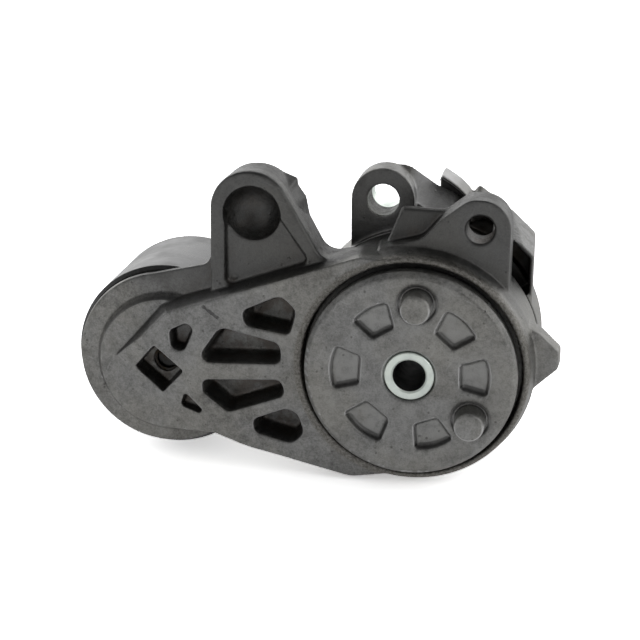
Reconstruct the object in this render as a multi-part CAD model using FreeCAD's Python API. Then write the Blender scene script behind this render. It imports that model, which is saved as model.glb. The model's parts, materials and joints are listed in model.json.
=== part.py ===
import FreeCAD, Part
import math
import os

# Belt tensioner for a heavy engine: a sprung arm turns on a bolted-down pivot and carries
# a flat idler pulley on a double-row ball bearing.
# Millimetres. +Z is up, +X is to the right seen from the front, and the front is -Y.
# The origin is on the pivot axis, in the plane of the rear mounting face.

Vector = FreeCAD.Vector
ALONG_Y = Vector(0, 1, 0)

# ---- driving dimensions ----------------------------------------------------------------
CAP_RADIUS = 40.0            # front cap disc
CAP_FACE_Y = -60.0           # front face of the cap and of the pivot sleeve
ARM_FACE_Y = -54.5           # front face of the arm
SHIELD_BACK_Y = -40.0        # back of the plate in front of the pulley
HOUSING_FRONT_Y = -24.0      # open rim of the base housing
MOUNT_Y = 0.0                # rear mounting face
MOUNT_HOLE_RADIUS = 6.2      # clearance for an M12 bolt
PULLEY_X = -98.0             # pulley axis seen from the pivot axis
PULLEY_Z = -6.0
PULLEY_RADIUS = 37.0
PULLEY_FRONT_Y = -38.5
PULLEY_WIDTH = 45.0
RUNNING_GAP = 0.05           # each side of a turning fit

# ---- pivot -----------------------------------------------------------------------------
SLEEVE_RADIUS = 9.28
SLEEVE_CHAMFER = 0.6
BUSH_WALL = 2.2
BUSH_LENGTH = 15.0
ARM_TUBE_RADIUS = 16.5
ARM_TUBE_BACK_Y = -14.0
HUB_BORE_RADIUS = 41.7       # opening of the hub round the cap
HUB_LIP_RADIUS = 43.9
HUB_SKIRT_RADIUS = 46.6
HUB_SKIRT_BACK_Y = -26.0
HUB_FLARE_RADIUS = 46.0
HUB_FLARE_Y = -46.0
WEB_FRONT_Y = -49.0
WEB_BACK_Y = -44.0

# ---- cap -------------------------------------------------------------------------------
CAP_CHAMFER = 2.0
CAP_BACK_Y = -52.5
CAP_PIN_CIRCLE = 28.1
CAP_PIN_ANGLES = (85.2, 325.2)
CAP_PIN_RADIUS = 5.6
CAP_PIN_HEIGHT = 7.5
CAP_WELL_RADIUS = 7.3
CAP_WELL_DEPTH = 1.6
CAP_POCKET_INNER = 18.9
CAP_POCKET_OUTER = 30.1
CAP_POCKET_DEPTH = 3.0
CAP_POCKETS = ((48.5, 16.0), (121.8, 16.0), (290.3, 16.0), (2.1, 16.0), (176.7, 18.5), (231.3, 18.5))

# ---- spring and damping ----------------------------------------------------------------
SPRING_RADIUS = 33.0
SPRING_WIRE_RADIUS = 3.5
SPRING_TURNS = 3.75
SPRING_START = 200.0         # degrees, where the wire begins at the back
SPRING_STOP_ANGLE = 8.0      # degrees, the lugs that the ends of the wire push against
SPRING_SEAT_THICKNESS = 2.0
PRELOAD_SPRING_THICKNESS = 1.0
PRELOAD_SPRING_OUTER = 36.0
PRELOAD_SPRING_INNER = 24.0

# ---- base housing ----------------------------------------------------------------------
HOUSING_RADIUS = 46.8
HOUSING_WALL = 4.8
HOUSING_FLOOR = 6.0
HOUSING_BOSS_RADIUS = 15.0
HOUSING_BOSS_FRONT_Y = -12.0
LOBE_FRONT_Y = -23.0
LOBE_ROOF_Y = -7.0           # the roof over the left of the lobe starts here
WINDOW_START = 29.0          # degrees, the open stretch of the housing wall
WINDOW_END = 70.0
STOP_TOOTH_START = 62.0      # degrees, the arm's stop tooth at rest, inside that stretch
STOP_TOOTH_END = 68.0
REAR_POCKET_ANGLES = (30, 90, 150, 270, 330)
BASE_LUG_X = -15.6
BASE_LUG_Z = 56.9
BASE_LUG_RADIUS = 12.4
BASE_LUG_FRONT_Y = -22.0
BASE_LUG_BACK_Y = -9.5
BASE_LUG_BOSS_RADIUS = 9.4
RING_DOWEL_WALL = 1.2
LOCATING_PIN_X = -33.0
LOCATING_PIN_Z = -12.0
LOCATING_PIN_RADIUS = 4.0
LOCATING_PIN_LENGTH = 8.0
LOCATING_PIN_NECK = 3.2      # radius of the part pressed in the housing
LOCATING_PIN_DEPTH = 4.0

# ---- arm -------------------------------------------------------------------------------
ARM_TRAVEL = 28.0            # degrees, from rest to the far stop
DISH_LUG_X = -61.7
DISH_LUG_Z = 55.5
DISH_RADIUS = 11.0
DISH_LUG_FRONT_Y = -47.7
DISH_LUG_BACK_Y = -30.0
HOLE_LUG_X = 23.4
HOLE_LUG_Z = 53.3
HOLE_LUG_BORE = 5.3
HOLE_LUG_FRONT_Y = -46.0
HOLE_LUG_BACK_Y = -33.0
SHIELD_RADIUS = 35.0
SHIELD_FRONT_Y = -43.5
SHIELD_STEP_RADIUS = 26.6     # raised middle of the plate
SHIELD_STEP_Y = -47.5
RAMP_ANGLE = 47.5            # degrees, the ridge of the ramp below the horizontal
RAMP_SLOPE = 0.375
DRIVE_LONG = 15.2            # mouth of the cast drive hole
DRIVE_SHORT = 16.0
DRIVE_SQUARE = 12.8          # half-inch square drive at the bottom of it
DRIVE_ANGLE = -41.0
DRIVE_BOTTOM_Y = -42.5
ARM_POCKET_FLOOR_Y = -43.0
SMALL_POCKET_FLOOR_Y = -47.5

# ---- pulley and bearing ----------------------------------------------------------------
BEARING_BORE = 8.5
BEARING_OUTSIDE = 23.5
BEARING_WIDTH = 22.2
BALL_RADIUS = 4.1
BALL_CIRCLE = 15.9
BALL_COUNT = 9
BALL_ROW_OFFSET = 5.5
CAGE_HALF_WALL = 1.5
CAGE_REACH = 3.2             # how far a cage goes past the middle of its balls
INNER_RING_RADIUS = 13.2
OUTER_RING_BORE = 18.6
SEAL_THICKNESS = 1.2
BOLT_RADIUS = 5.0
BOLT_HOLE_RADIUS = 5.2       # of the pieces threaded on the bolt
BOLT_END_DEPTH = 3.0         # end of the bolt behind the bottom of the drive hole
BOLT_HEAD_ACROSS = 16.0
BOLT_HEAD_HEIGHT = 6.4
BOLT_WASHER_RADIUS = 13.0
BOLT_WASHER_THICKNESS = 2.5
DUST_SHIELD_RADIUS = 21.0
DUST_SHIELD_THICKNESS = 1.0
PULLEY_WALL = 3.2
PULLEY_HUB_RADIUS = 28.0

BUSH_RADIUS = SLEEVE_RADIUS + RUNNING_GAP
ARM_TUBE_BORE = BUSH_RADIUS + BUSH_WALL
PULLEY_BACK_Y = PULLEY_FRONT_Y + PULLEY_WIDTH
BEARING_MIDDLE_Y = PULLEY_FRONT_Y + PULLEY_WIDTH / 2
BEARING_FRONT_Y = BEARING_MIDDLE_Y - BEARING_WIDTH / 2
BEARING_BACK_Y = BEARING_MIDDLE_Y + BEARING_WIDTH / 2
RETAINING_RING_THICKNESS = 1.6


# ---- shape helpers ---------------------------------------------------------------------
def rod(radius, y_front, y_back, x=0.0, z=0.0):
    """A round bar along Y."""
    return Part.makeCylinder(radius, y_back - y_front, Vector(x, y_front, z), ALONG_Y)


def tube(outer, inner, y_front, y_back, x=0.0, z=0.0):
    """A round tube along Y."""
    return rod(outer, y_front, y_back, x, z).cut(rod(inner, y_front, y_back, x, z))


def turned(profile, x=0.0, z=0.0):
    """A solid turned about the line along Y through x, z, from (radius, y) corners."""
    points = [Vector(x + radius, y, z) for radius, y in profile]
    face = Part.Face(Part.makePolygon(points + points[:1]))
    return face.revolve(Vector(x, 0, z), ALONG_Y, 360)


def polar(radius, degrees):
    """The x, z place at a radius and angle round the pivot, 0 at +X and 90 at +Z."""
    return radius * math.cos(math.radians(degrees)), radius * math.sin(math.radians(degrees))


def moved_corner(before, corner, after, grow):
    """The corner of an outline whose two sides have moved outwards by grow."""
    sides = []
    for start, end in ((before, corner), (corner, after)):
        length = math.hypot(end[0] - start[0], end[1] - start[1])
        along = ((end[0] - start[0]) / length, (end[1] - start[1]) / length)
        sides.append((start[0] + along[1] * grow, start[1] - along[0] * grow, along))
    (x1, z1, d1), (x2, z2, d2) = sides
    turn = d1[0] * d2[1] - d1[1] * d2[0]
    reach = ((x2 - x1) * d2[1] - (z2 - z1) * d2[0]) / turn
    return x1 + d1[0] * reach, z1 + d1[1] * reach, d1, d2, turn


def outline_edges(corners, y, grow=0.0):
    """The edges of a closed outline in the plane at y from (x, z, corner radius) values,
    anticlockwise seen from the front, with all its sides moved outwards by grow."""
    count = len(corners)
    pieces = []
    for i, corner in enumerate(corners):
        x, z, d1, d2, turn = moved_corner(corners[i - 1], corner, corners[(i + 1) % count], grow)
        if corner[2] == 0:
            pieces.append((Vector(x, y, z),))
            continue
        radius = max(corner[2] + (grow if turn > 0 else -grow), 0.3)
        half = math.atan2(abs(turn), d1[0] * d2[0] + d1[1] * d2[1]) / 2
        back = radius * math.tan(half)
        sag = radius * (1 / math.cos(half) - 1)
        inwards = Vector(d2[0] - d1[0], 0, d2[1] - d1[1]).normalize()
        pieces.append((Vector(x - d1[0] * back, y, z - d1[1] * back), Vector(x, y, z) + inwards * sag,
                       Vector(x + d2[0] * back, y, z + d2[1] * back)))
    edges = []
    for i, piece in enumerate(pieces):
        edges.append(Part.LineSegment(pieces[i - 1][-1], piece[0]).toShape())
        if len(piece) == 3:
            edges.append(Part.Arc(*piece).toShape())
    return edges


def outline(corners, y):
    """The face inside an outline."""
    return Part.Face(Part.Wire(outline_edges(corners, y)))


def slab(corners, y_front, y_back):
    """A flat plate with straight sides."""
    return outline(corners, y_front).extrude(Vector(0, y_back - y_front, 0))


def skinned(*levels):
    """A solid through two or more outlines with as many edges, each edge joined to its partner."""
    faces = [Part.Face(Part.Wire(levels[0])), Part.Face(Part.Wire(levels[-1]))]
    for near, far in zip(levels, levels[1:]):
        faces += [Part.makeRuledSurface(front, back) for front, back in zip(near, far)]
    shell = Part.Shell(faces)
    shell.sewShape()
    solid = Part.Solid(shell)
    if solid.Volume < 0:
        solid.reverse()
    return solid


def drafted(corners, y_front, y_back, grow_front, grow_back):
    """A plate whose sides slope evenly from one offset of its outline to another."""
    return skinned(outline_edges(corners, y_front, grow_front), outline_edges(corners, y_back, grow_back))


def blend(front_corners, y_front, back_corners, y_back):
    """A block whose sides run straight from one outline to another with as many corners."""
    return skinned(outline_edges(front_corners, y_front), outline_edges(back_corners, y_back))


def hollow(corners, y_mouth, y_floor, grow_mouth, grow_floor):
    """Cutter for a cast pocket: drafted sides that run into the floor in a rounded corner."""
    straight_share = 0.4
    steps = 3
    y_bend = y_mouth + straight_share * (y_floor - y_mouth)
    grow_bend = grow_mouth + straight_share * (grow_floor - grow_mouth)
    levels = [outline_edges(corners, y_mouth, grow_mouth)]
    for i in range(steps + 1):
        turn = math.pi / 2 * i / steps
        y = y_bend + (y_floor - y_bend) * math.sin(turn)
        levels.append(outline_edges(corners, y, grow_bend + (grow_floor - grow_bend) * (1 - math.cos(turn))))
    return skinned(*levels)


def sector(outer, inner, start, end, y_front, y_back):
    """Part of a ring between two angles."""
    ring = tube(outer, inner, y_front, y_back)
    far = outer * 2
    wedge = [(0, 0, 0), (*polar(far, start), 0), (*polar(far, (start + end) / 2), 0), (*polar(far, end), 0)]
    return ring.common(slab(wedge, y_front, y_back))


# ---- pivot and cap ---------------------------------------------------------------------
def pivot_sleeve():
    """Zinc-plated sleeve that takes the main mounting bolt."""
    chamfer = SLEEVE_CHAMFER
    return turned([(MOUNT_HOLE_RADIUS, CAP_FACE_Y + chamfer), (MOUNT_HOLE_RADIUS + chamfer, CAP_FACE_Y),
                   (SLEEVE_RADIUS - chamfer / 2, CAP_FACE_Y), (SLEEVE_RADIUS, CAP_FACE_Y + chamfer / 2),
                   (SLEEVE_RADIUS, MOUNT_Y), (MOUNT_HOLE_RADIUS, MOUNT_Y)])


def cap_pocket(angle, half_width):
    """One keystone pocket in the face of the cap."""
    corner_radius = 2.2
    corners = [(*polar(CAP_POCKET_INNER, angle - half_width), corner_radius),
               (*polar(CAP_POCKET_OUTER, angle - half_width), corner_radius),
               (*polar(CAP_POCKET_OUTER + 1.0, angle), CAP_POCKET_INNER),
               (*polar(CAP_POCKET_OUTER, angle + half_width), corner_radius),
               (*polar(CAP_POCKET_INNER, angle + half_width), corner_radius)]
    return hollow(corners, CAP_FACE_Y - 0.5, CAP_FACE_Y + CAP_POCKET_DEPTH, 0.4, -2.5)


def front_cap():
    """Cast disc fixed to the sleeve, with two driving pins and six pockets."""
    counterbore = 0.9
    disc = turned([(SLEEVE_RADIUS, CAP_BACK_Y), (SLEEVE_RADIUS, CAP_FACE_Y + counterbore),
                   (SLEEVE_RADIUS + counterbore, CAP_FACE_Y + counterbore),
                   (SLEEVE_RADIUS + counterbore, CAP_FACE_Y), (CAP_RADIUS - CAP_CHAMFER, CAP_FACE_Y),
                   (CAP_RADIUS, CAP_FACE_Y + CAP_CHAMFER), (CAP_RADIUS, CAP_BACK_Y)])
    for angle, half_width in CAP_POCKETS:
        disc = disc.cut(cap_pocket(angle, half_width))
    tip = 0.8
    for angle in CAP_PIN_ANGLES:
        x, z = polar(CAP_PIN_CIRCLE, angle)
        floor_y = CAP_FACE_Y + CAP_WELL_DEPTH
        well = turned([(0, CAP_FACE_Y - 1), (CAP_WELL_RADIUS + 0.5, CAP_FACE_Y - 1),
                       (CAP_WELL_RADIUS - 0.6, floor_y), (0, floor_y)], x, z)
        pin = turned([(0, floor_y + 1), (0, CAP_FACE_Y - CAP_PIN_HEIGHT),
                      (CAP_PIN_RADIUS - tip, CAP_FACE_Y - CAP_PIN_HEIGHT),
                      (CAP_PIN_RADIUS, CAP_FACE_Y - CAP_PIN_HEIGHT + tip),
                      (CAP_PIN_RADIUS + 0.3, floor_y + 1)], x, z)
        disc = disc.cut(well).fuse(pin)
    return disc


def preload_spring():
    """Dished steel spring that presses the friction ring on the arm."""
    back = CAP_BACK_Y + RUNNING_GAP
    front = back + PRELOAD_SPRING_THICKNESS
    return tube(PRELOAD_SPRING_OUTER, PRELOAD_SPRING_INNER, back, front)


def friction_ring():
    """Damping ring between the preload spring and the web of the arm."""
    front = CAP_BACK_Y + PRELOAD_SPRING_THICKNESS + 2 * RUNNING_GAP
    return tube(CAP_RADIUS - 1, CAP_RADIUS / 2, front, WEB_FRONT_Y - RUNNING_GAP)


def pivot_bush(y_front):
    """Plain bush pressed in the tube of the arm."""
    return tube(ARM_TUBE_BORE, BUSH_RADIUS, y_front, y_front + BUSH_LENGTH)


def rear_thrust_washer():
    """Plastic washer between the tube of the arm and the boss of the housing."""
    return tube(ARM_TUBE_RADIUS - 0.5, BUSH_RADIUS + 1, ARM_TUBE_BACK_Y + RUNNING_GAP,
                HOUSING_BOSS_FRONT_Y - RUNNING_GAP)


# ---- main spring -----------------------------------------------------------------------
SPRING_BACK_Y = MOUNT_Y - HOUSING_FLOOR - SPRING_SEAT_THICKNESS - SPRING_WIRE_RADIUS - RUNNING_GAP
SPRING_FRONT_Y = WEB_BACK_Y + SPRING_WIRE_RADIUS + RUNNING_GAP


def torsion_spring():
    """Coil of round wire that pushes the arm towards the belt."""
    length = SPRING_BACK_Y - SPRING_FRONT_Y
    helix = Part.makeHelix(length / SPRING_TURNS, length, SPRING_RADIUS)
    circle = Part.Wire(Part.Circle(Vector(SPRING_RADIUS, 0, 0), ALONG_Y, SPRING_WIRE_RADIUS).toShape())
    coil = Part.Wire(helix.Edges).makePipeShell([circle], True, True)
    coil.rotate(Vector(0, 0, 0), Vector(1, 0, 0), 90)
    coil.rotate(Vector(0, 0, 0), ALONG_Y, -SPRING_START)
    coil.translate(Vector(0, SPRING_BACK_Y, 0))
    return coil


def spring_seat():
    """Plastic ring under the back of the coil."""
    seat_margin = SPRING_WIRE_RADIUS + 1.5
    floor_y = MOUNT_Y - HOUSING_FLOOR
    return tube(SPRING_RADIUS + seat_margin, SPRING_RADIUS - seat_margin,
                floor_y - SPRING_SEAT_THICKNESS, floor_y)


# ---- base housing ----------------------------------------------------------------------
def housing_cup():
    """Round cup that holds the back of the spring, with the boss for the sleeve."""
    floor_y = MOUNT_Y - HOUSING_FLOOR
    inner = HOUSING_RADIUS - HOUSING_WALL
    return turned([(SLEEVE_RADIUS, MOUNT_Y), (HOUSING_RADIUS - 1, MOUNT_Y), (HOUSING_RADIUS, MOUNT_Y - 1),
                   (HOUSING_RADIUS, HOUSING_FRONT_Y), (inner, HOUSING_FRONT_Y), (inner, floor_y),
                   (HOUSING_BOSS_RADIUS, floor_y), (HOUSING_BOSS_RADIUS, HOUSING_BOSS_FRONT_Y),
                   (SLEEVE_RADIUS, HOUSING_BOSS_FRONT_Y)])


def housing_lobe():
    """Corner of the housing beside the cup, whose top slopes up towards the back."""
    front = [(18, 20, 0), (42.8, 10, 0), (42.8, 37.6, 1), (38.4, 41.8, 3), (20, 50, 3), (10, 42, 0)]
    back = [(18, 20, 0), (42.4, 10, 0), (42.4, 41, 3), (33, 49.8, 4), (19.6, 59.6, 1.5), (14, 52, 0)]
    lobe = blend(front, LOBE_FRONT_Y, back, MOUNT_Y)
    notch = [(34.4, 35.4, 0), (38.2, 39.3, 0), (34.4, 44, 0)]
    roof_opening = [(17, 44, 0), (26.5, 40, 0), (26.5, 62, 0), (17, 62, 0)]
    lobe = lobe.cut(slab(notch, LOBE_FRONT_Y - 1, LOBE_FRONT_Y + 5))
    return lobe.cut(slab(roof_opening, LOBE_FRONT_Y - 1, LOBE_ROOF_Y))


def lobe_cavity():
    """Room in the lobe, open at the front."""
    corners = [(20, 20, 0), (41.2, 12, 0), (41.2, 36.9, 1), (37.6, 40.2, 2), (22, 47.3, 2), (14, 44, 0)]
    return slab(corners, HOUSING_FRONT_Y - 1, MOUNT_Y - HOUSING_FLOOR).cut(
        rod(HOUSING_RADIUS - 0.01, HOUSING_FRONT_Y - 1, MOUNT_Y - HOUSING_FLOOR))


def base_lug():
    """Lug for the second mounting bolt, with the web that sweeps down from it."""
    front = [(-24, 34, 0), (14, 40, 0), (17, 49, 2), (2, 53, 10), (-8, 60, 5), (-18, 63, 0)]
    back = [(-24, 34, 0), (14, 40, 0), (17, 55.5, 2), (3.8, 61.3, 12), (-7, 68.6, 8), (-18, 69, 0)]
    lug = rod(BASE_LUG_RADIUS, BASE_LUG_FRONT_Y, BASE_LUG_BACK_Y, BASE_LUG_X, BASE_LUG_Z)
    boss = rod(BASE_LUG_BOSS_RADIUS, BASE_LUG_BACK_Y - 1, MOUNT_Y, BASE_LUG_X, BASE_LUG_Z)
    left = BASE_LUG_X - BASE_LUG_RADIUS
    foot = [(left, 34, 0), (BASE_LUG_X + BASE_LUG_RADIUS, 34, 0),
            (BASE_LUG_X + BASE_LUG_RADIUS, BASE_LUG_Z, 0), (left, BASE_LUG_Z, 0)]
    web = blend(front, BASE_LUG_FRONT_Y + 1.5, back, BASE_LUG_BACK_Y)
    return lug.fuse([boss, slab(foot, BASE_LUG_FRONT_Y, BASE_LUG_BACK_Y), web])


def spring_hood():
    """Thin curved roof over the slot beside the lobe."""
    roof = [(4.8, 63.2, 0), (13.5, 56.2, 0), (17.4, 57, 1), (12.4, 62.2, 25), (6.2, 66, 0.5)]
    slot = [(4.3, 62.2, 0), (13.8, 54.6, 0), (15.9, 56.9, 0), (11.8, 61, 20), (6, 64.6, 0)]
    foot = [(4.8, 55, 0), (17, 50, 0), (17.4, 57, 0), (4.8, 63.4, 0)]
    front_y = MOUNT_Y - 15
    block = slab(roof, front_y, MOUNT_Y).cut(slab(slot, front_y - 1, MOUNT_Y - 3))
    return block.fuse(slab(foot, MOUNT_Y - 7, MOUNT_Y))


def rear_pocket(angle):
    """One lightening pocket in the back of the housing floor."""
    half_width = 19.0
    near, far = 19.5, 38.0
    depth = 3.0
    corners = [(*polar(near, angle - half_width), 2), (*polar(far, angle - half_width), 3),
               (*polar(far, angle + half_width), 3), (*polar(near, angle + half_width), 2)]
    return drafted(corners, MOUNT_Y - depth, MOUNT_Y + 0.5, -1.0, 0.2)


def base_housing():
    """Cast housing that bolts to the engine."""
    inner = HOUSING_RADIUS - HOUSING_WALL
    body = housing_cup().fuse([housing_lobe(), base_lug(), spring_hood()])
    body = body.cut(rod(inner, HOUSING_FRONT_Y - 1, MOUNT_Y - HOUSING_FLOOR))
    boss = tube(HOUSING_BOSS_RADIUS, SLEEVE_RADIUS, HOUSING_BOSS_FRONT_Y, MOUNT_Y)
    window = sector(HOUSING_RADIUS + 0.01, inner - 0.5, WINDOW_START, WINDOW_END,
                    HOUSING_FRONT_Y - 1, MOUNT_Y - HOUSING_FLOOR - 4)
    body = body.cut(window).cut(lobe_cavity()).fuse(boss)
    stop_end = SPRING_START - 1
    stop = sector(inner, SPRING_RADIUS - SPRING_WIRE_RADIUS, stop_end - SPRING_STOP_ANGLE, stop_end,
                  SPRING_BACK_Y - SPRING_WIRE_RADIUS, MOUNT_Y - HOUSING_FLOOR - SPRING_SEAT_THICKNESS)
    body = body.fuse(stop)
    for angle in REAR_POCKET_ANGLES:
        body = body.cut(rear_pocket(angle))
    body = body.cut(rod(MOUNT_HOLE_RADIUS, BASE_LUG_FRONT_Y - 1, MOUNT_Y + 1, BASE_LUG_X, BASE_LUG_Z))
    body = body.cut(rod(MOUNT_HOLE_RADIUS + RING_DOWEL_WALL, BASE_LUG_BACK_Y + 1, MOUNT_Y + 1,
                        BASE_LUG_X, BASE_LUG_Z))
    pin_hole = rod(LOCATING_PIN_NECK, MOUNT_Y - LOCATING_PIN_DEPTH, MOUNT_Y + 1,
                   LOCATING_PIN_X, LOCATING_PIN_Z)
    counterbore = rod(LOCATING_PIN_RADIUS + 0.5, MOUNT_Y - 0.6, MOUNT_Y + 1,
                      LOCATING_PIN_X, LOCATING_PIN_Z)
    return body.cut(pin_hole).cut(counterbore).removeSplitter()


def ring_dowel():
    """Hollow steel dowel round the second mounting bolt."""
    return tube(MOUNT_HOLE_RADIUS + RING_DOWEL_WALL, MOUNT_HOLE_RADIUS, BASE_LUG_BACK_Y + 1, MOUNT_Y,
                BASE_LUG_X, BASE_LUG_Z)


def locating_pin():
    """Pin that stops the housing turning on the engine."""
    chamfer = 0.8
    end = MOUNT_Y + LOCATING_PIN_LENGTH
    shoulder = MOUNT_Y + 0.4
    return turned([(0, MOUNT_Y - LOCATING_PIN_DEPTH), (LOCATING_PIN_NECK, MOUNT_Y - LOCATING_PIN_DEPTH),
                   (LOCATING_PIN_NECK, shoulder), (LOCATING_PIN_RADIUS, shoulder),
                   (LOCATING_PIN_RADIUS, end - chamfer), (LOCATING_PIN_RADIUS - chamfer, end), (0, end)],
                  LOCATING_PIN_X, LOCATING_PIN_Z)


# ---- arm casting -----------------------------------------------------------------------
def arm_hub():
    """Flared hub with its web and the tube that turns on the pivot."""
    inner = HOUSING_RADIUS - HOUSING_WALL
    lip = 0.6
    return turned([(HUB_BORE_RADIUS, ARM_FACE_Y + lip), (HUB_BORE_RADIUS + lip, ARM_FACE_Y),
                   (HUB_LIP_RADIUS - lip, ARM_FACE_Y), (HUB_LIP_RADIUS, ARM_FACE_Y + lip),
                   (HUB_FLARE_RADIUS, HUB_FLARE_Y), (HUB_SKIRT_RADIUS, HUB_SKIRT_BACK_Y),
                   (inner, HUB_SKIRT_BACK_Y), (inner, WEB_BACK_Y), (ARM_TUBE_RADIUS, WEB_BACK_Y),
                   (ARM_TUBE_RADIUS, ARM_TUBE_BACK_Y), (ARM_TUBE_BORE, ARM_TUBE_BACK_Y),
                   (ARM_TUBE_BORE, WEB_FRONT_Y), (HUB_BORE_RADIUS, WEB_FRONT_Y)])


def ramp_cutter():
    """Block that takes the sloping ramp off the outer corner of the beam."""
    ridge = Vector(-104.9, ARM_FACE_Y, 8.0)
    ridge_angle = math.radians(RAMP_ANGLE)
    along = Vector(math.cos(ridge_angle), 0, -math.sin(ridge_angle))
    across = Vector(-math.sin(ridge_angle), 0, -math.cos(ridge_angle))
    reach = 60.0
    above = Vector(0, -9, 0)
    start = ridge - along * reach
    far = start + across * reach
    wedge = [start, far + Vector(0, reach * RAMP_SLOPE, 0), far + above, start + above]
    return Part.Face(Part.makePolygon(wedge + wedge[:1])).extrude(along * (2.5 * reach))


def arm_beam():
    """Beam from the hub to the pulley, with the ramp across its outer corner."""
    front = [(-118.5, -8.2, 3), (-116, -21, 8), (-101, -32.6, 12), (-77, -31.4, 4), (-62, -36, 14),
             (-50.6, -38.5, 30), (-22.5, -45.2, 14), (-6, -42.4, 0), (-6, 42.4, 0), (-20, 43, 8),
             (-29.5, 39.7, 14), (-94.6, 16.9, 5)]
    foot = [(-120, -7, 3), (-117, -21.5, 8), (-101.5, -34, 12), (-77, -32.8, 4), (-62, -37.5, 14),
            (-50.6, -40, 30), (-22.5, -46.6, 14), (-6, -43, 0), (-6, 43, 0), (-20, 43.8, 8),
            (-29.8, 40.5, 14), (-97.5, 18.6, 6)]
    beam = blend(front, ARM_FACE_Y, foot, SHIELD_STEP_Y)
    beam = beam.fuse(drafted(foot, SHIELD_STEP_Y, SHIELD_BACK_Y, 0, 0.4))
    return beam.cut(ramp_cutter())


def arm_shield():
    """Round plate in front of the pulley, its raised middle and its upper corner."""
    edge = 0.8
    plate = turned([(0, SHIELD_BACK_Y), (SHIELD_RADIUS, SHIELD_BACK_Y),
                    (SHIELD_RADIUS, SHIELD_FRONT_Y + edge), (SHIELD_RADIUS - edge, SHIELD_FRONT_Y),
                    (0, SHIELD_FRONT_Y)], PULLEY_X, PULLEY_Z + 0.4)
    step = turned([(0, SHIELD_BACK_Y), (SHIELD_STEP_RADIUS + 2.2, SHIELD_FRONT_Y),
                   (SHIELD_STEP_RADIUS, SHIELD_STEP_Y), (0, SHIELD_STEP_Y)], PULLEY_X + 1.2, PULLEY_Z - 0.4)
    corner = [(-98, 5, 0), (-66, 5, 0), (-66, 44, 0), (-74, 49.5, 0), (-78.5, 50, 0), (-78.8, 34.6, 5),
              (-104.9, 28.5, 0)]
    return plate.fuse([step, slab(corner, SHIELD_FRONT_Y, SHIELD_BACK_Y)])


def dish_lug():
    """Upper lug with the round dish and the three-cornered pocket under it."""
    bevel = 0.8
    corners = [(-78.2, 20, 0), (-18, 30, 0), (-18, 41.6, 0), (-34.6, 38.6, 7), (-53.4, 72, 15),
               (-77.4, 72, 14.8)]
    back = [(-77.8, 20, 0), (-18, 30, 0), (-18, 41.6, 0), (-35.2, 38.6, 7), (-53, 71.8, 15),
            (-76.6, 71.8, 14.4)]
    lug = drafted(corners, DISH_LUG_FRONT_Y, DISH_LUG_FRONT_Y + bevel, -bevel, 0)
    lug = lug.fuse(blend(corners, DISH_LUG_FRONT_Y + bevel, back, DISH_LUG_BACK_Y))
    swell_front = [(-58, 48, 0), (-41.2, 48, 0), (-43.2, 52, 0), (-46.3, 58, 0), (-48.4, 61.5, 0),
                   (-50.2, 63.5, 0), (-58, 68.5, 0)]
    swell_back = [(-58, 46, 0), (-39.3, 46, 0), (-42.5, 52.3, 0), (-43.9, 59.5, 0), (-47, 64, 0),
                  (-47.1, 66.5, 0), (-56, 70, 0)]
    lug = lug.fuse(blend(swell_front, DISH_LUG_FRONT_Y + 4, swell_back, DISH_LUG_BACK_Y))
    pocket_depth = 3.0
    pocket = [(-72.8, 25.8, 3), (-38.8, 37.8, 3), (-50.8, 55, 2), (-72.4, 54, 2)]
    floor_y = DISH_LUG_FRONT_Y + pocket_depth
    lug = lug.cut(hollow(pocket, DISH_LUG_FRONT_Y - 0.5, floor_y, 0.3, -1.7))
    bump_radius, bump_height = 2.4, 0.6
    bump_middle = Vector(-69.2, floor_y + bump_radius - bump_height, 30.2)
    lug = lug.fuse(Part.makeSphere(bump_radius, bump_middle))
    return lug.cut(Part.makeSphere(DISH_RADIUS, Vector(DISH_LUG_X, DISH_LUG_FRONT_Y, DISH_LUG_Z)))


def hole_lug():
    """Upper right lug with a plain hole, and the fin that joins it to the hub."""
    front = [(-10, 30, 0), (34.6, 24, 0), (34.6, 64.4, 11.1), (19, 64.4, 8), (8.8, 56.4, 10), (2.2, 48.8, 8),
             (-14, 44.4, 0)]
    lug = drafted(front, HOLE_LUG_FRONT_Y, HOLE_LUG_BACK_Y, 0, 0.4)
    fin = [(-13, 42, 0), (5, 38, 0), (24, 50, 0), (20.5, 64, 3), (10, 58.4, 8), (-6.4, 58.8, 1.5)]
    return lug.fuse(drafted(fin, HOLE_LUG_FRONT_Y + 7, HOLE_LUG_BACK_Y - 3, -0.6, 0.2))


def hub_ear():
    """Small ear on the right of the hub."""
    corners = [(38, -15, 0), (47, -6.2, 3), (54.5, 1, 1.5), (54.5, 7.6, 1.2), (47.4, 14.4, 0), (38, 20.5, 0)]
    return drafted(corners, HUB_FLARE_Y, HUB_FLARE_Y + 8, -0.4, 0.4)


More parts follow.
